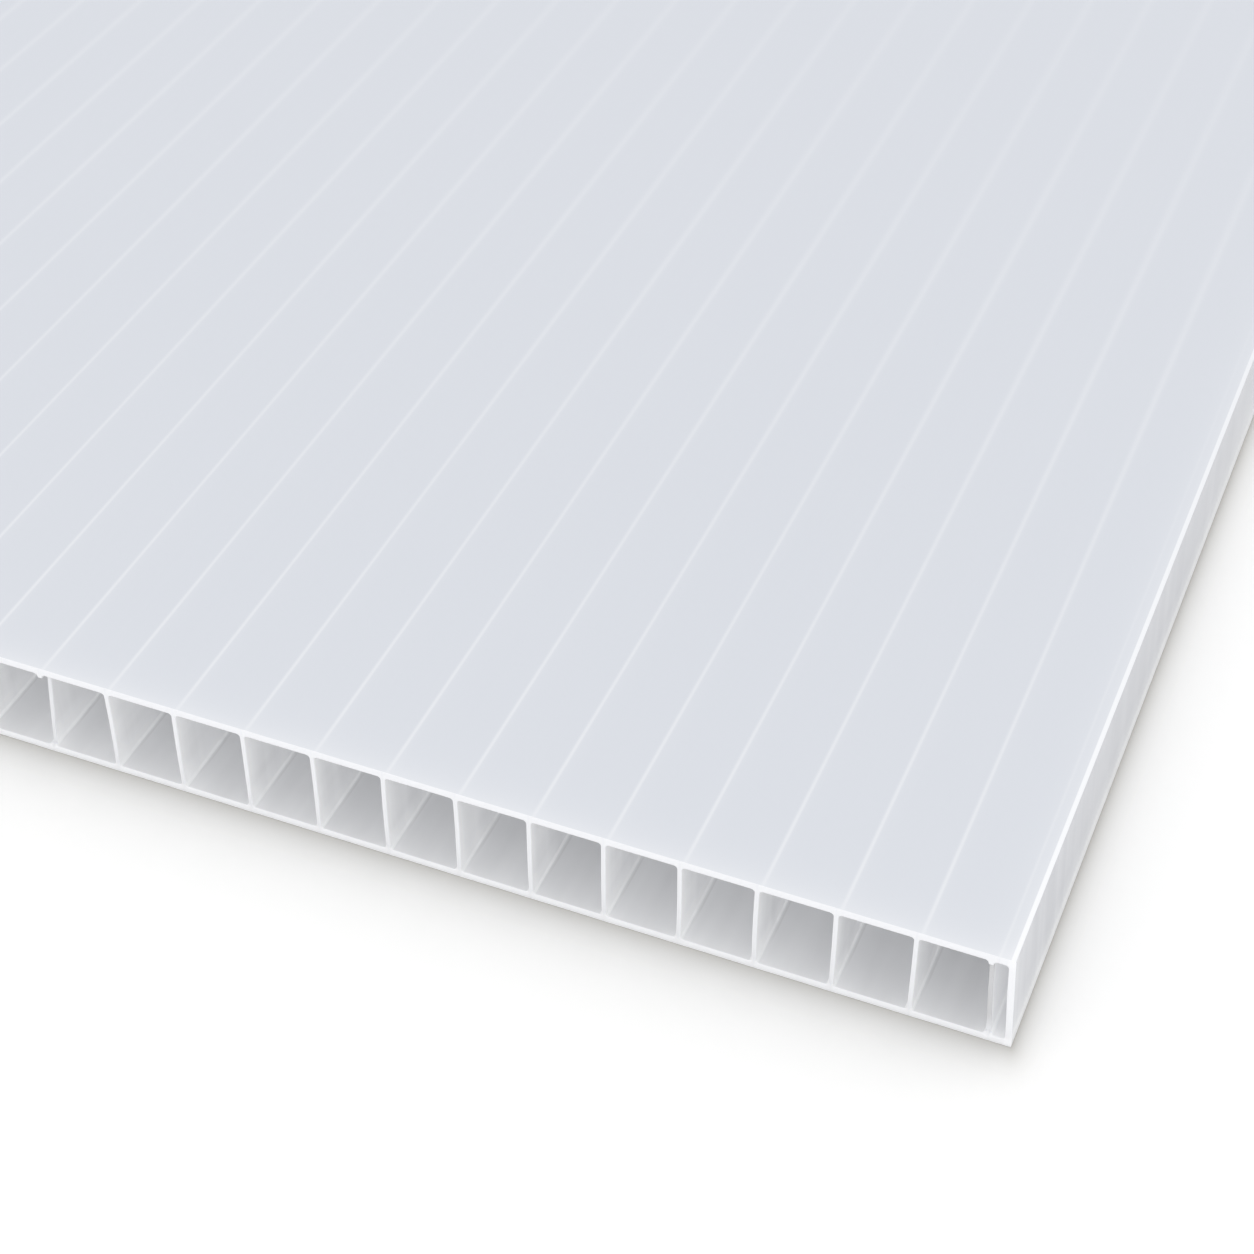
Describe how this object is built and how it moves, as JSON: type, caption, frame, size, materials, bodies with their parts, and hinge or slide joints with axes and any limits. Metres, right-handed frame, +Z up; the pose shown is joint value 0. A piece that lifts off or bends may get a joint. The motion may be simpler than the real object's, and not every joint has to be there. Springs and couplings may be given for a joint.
{
  "type": "corrugated plastic sheet",
  "caption": "Flat translucent white twin-wall fluted plastic sheet: two skins joined by straight webs, open flutes at both ends, closed long edges.",
  "frame": {"origin": "middle of the bottom face, on the surface that the sheet lies on", "axes": "+X across the flutes, +Y along the flutes, +Z up through the thickness; the cut end that the picture shows faces -Y and the closed edge that it shows faces +X"},
  "size_m": [0.21, 0.297, 0.01],
  "materials": {
    "opal_plastic": "translucent white polypropylene, smooth satin skin, whiter at the cut ends"
  },
  "bodies": {
    "root": {"fluted_sheet": "opal_plastic"}
  },
  "joints": []
}
